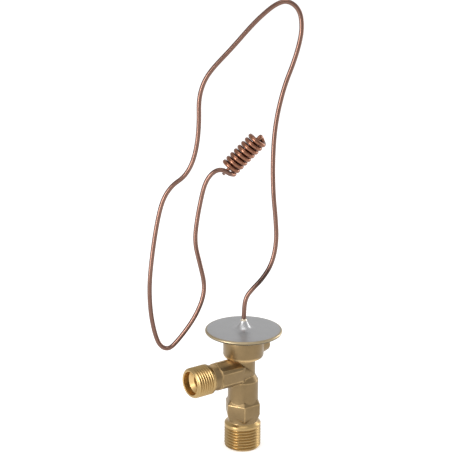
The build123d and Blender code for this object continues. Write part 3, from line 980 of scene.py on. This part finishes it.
def add_camera(stage):
    """Camera on a sphere round its target, rolled about its own line of sight."""
    bpy.ops.object.select_all(action="DESELECT")
    bpy.ops.object.camera_add()
    camera = bpy.context.object
    turn, rise, roll = stage.azimuth, stage.elevation, stage.roll
    back = Vector((
        math.sin(turn) * math.cos(rise), -math.cos(turn) * math.cos(rise), math.sin(rise)))
    right = Vector((math.cos(turn), math.sin(turn), 0))
    up = back.cross(right)
    axes = Matrix((
        right * math.cos(roll) + up * math.sin(roll),
        up * math.cos(roll) - right * math.sin(roll),
        back)).transposed().to_4x4()
    camera.matrix_world = Matrix.Translation(TARGET + back * stage.distance) @ axes
    camera.data.sensor_width = SENSOR_WIDTH
    camera.data.lens = stage.lens
    camera.data.clip_start, camera.data.clip_end = CLIP_START, CLIP_END
    bpy.context.scene.camera = camera


def add_lamp(name, power, place, size):
    """Rectangular lamp that faces the camera's target."""
    bpy.ops.object.select_all(action="DESELECT")
    bpy.ops.object.light_add(type="AREA", location=place)
    lamp = bpy.context.object
    lamp.name = name
    lamp.data.energy = power
    lamp.data.shape = "RECTANGLE"
    lamp.data.size, lamp.data.size_y = size
    lamp.rotation_euler = (TARGET - Vector(place)).to_track_quat("-Z", "Y").to_euler()


def seen(n):
    """1 for what the camera sees, straight or in a mirror or glass, and 0 for light on the object."""
    straight, mirrored, through = (
        n.add("ShaderNodeLightPath", output=name)
        for name in ("Is Camera Ray", "Is Glossy Ray", "Is Transmission Ray"))
    return straight + mirrored + through


def add_floor():
    """Floor that shows white but lights the object as a pale matt sheet, and keeps its shadow."""
    bpy.ops.object.select_all(action="DESELECT")
    bpy.ops.mesh.primitive_plane_add(size=FLOOR_WIDTH, location=(0, 0, 0))
    floor = bpy.context.object
    floor.name = "floor"
    settle(floor)
    n = new_finish("floor")
    matt = n.add("ShaderNodeBsdfDiffuse", {}, {"Color": rgba([FLOOR_GREY] * 3)})
    glow = n.add("ShaderNodeEmission", {}, {"Color": rgba([1] * 3), "Strength": FLOOR_GLOW})
    both = n.add("ShaderNodeAddShader", {}, (matt, glow))
    shown = n.add("ShaderNodeMixShader", {}, (seen(n), matt, both))
    n.add("ShaderNodeOutputMaterial", {}, {"Surface": shown})
    dress(floor, n.owner)


def add_world():
    """Even grey room."""
    world = bpy.data.worlds.new("studio")
    bpy.context.scene.world = world
    n = Nodes(world)
    room = n.add("ShaderNodeBackground", {}, {"Color": rgba([ROOM_GREY] * 3)})
    n.add("ShaderNodeOutputWorld", {}, {"Surface": room})


class VALVE_OT_stage(bpy.types.Operator):
    """Camera, lamps and floor"""

    bl_idname = "valve.stage"
    bl_label = "Stage"

    def execute(self, context):
        stage = context.scene.valve_stage
        add_camera(stage)
        add_lamp("key", stage.key_power, **KEY_LAMP)
        add_lamp("rim", stage.rim_power, **RIM_LAMP)
        add_lamp("top", stage.top_power, **TOP_LAMP)
        add_floor()
        add_world()
        context.scene.view_settings.view_transform = "Standard"
        return {"FINISHED"}


# ---------------------------------------------------------------- add-on


class VALVE_PT_panel(bpy.types.Panel):
    """Lists the pieces of the valve"""

    bl_idname = "VALVE_PT_panel"
    bl_label = "Expansion valve"
    bl_space_type = "VIEW_3D"
    bl_region_type = "UI"
    bl_category = "Valve"

    def draw(self, context):
        for operator in OPERATORS:
            self.layout.operator(operator.bl_idname)


SETTINGS = {"valve_sizes": ValveSizes, "valve_finishes": ValveFinishes, "valve_stage": ValveStage}
OPERATORS = [
    VALVE_OT_body, VALVE_OT_power_head, VALVE_OT_capillary, VALVE_OT_spring, VALVE_OT_inner_parts,
    VALVE_OT_stage,
]


def register():
    for kind in (*SETTINGS.values(), *OPERATORS, VALVE_PT_panel):
        bpy.utils.register_class(kind)
    for name, kind in SETTINGS.items():
        setattr(bpy.types.Scene, name, bpy.props.PointerProperty(type=kind))


def unregister():
    for name in SETTINGS:
        delattr(bpy.types.Scene, name)
    for kind in reversed((*SETTINGS.values(), *OPERATORS, VALVE_PT_panel)):
        bpy.utils.unregister_class(kind)


def main():
    register()
    bpy.ops.valve.body()
    bpy.ops.valve.power_head()
    bpy.ops.valve.capillary()
    bpy.ops.valve.spring()
    bpy.ops.valve.inner_parts()
    bpy.ops.valve.stage()


if __name__ == "__main__":
    main()
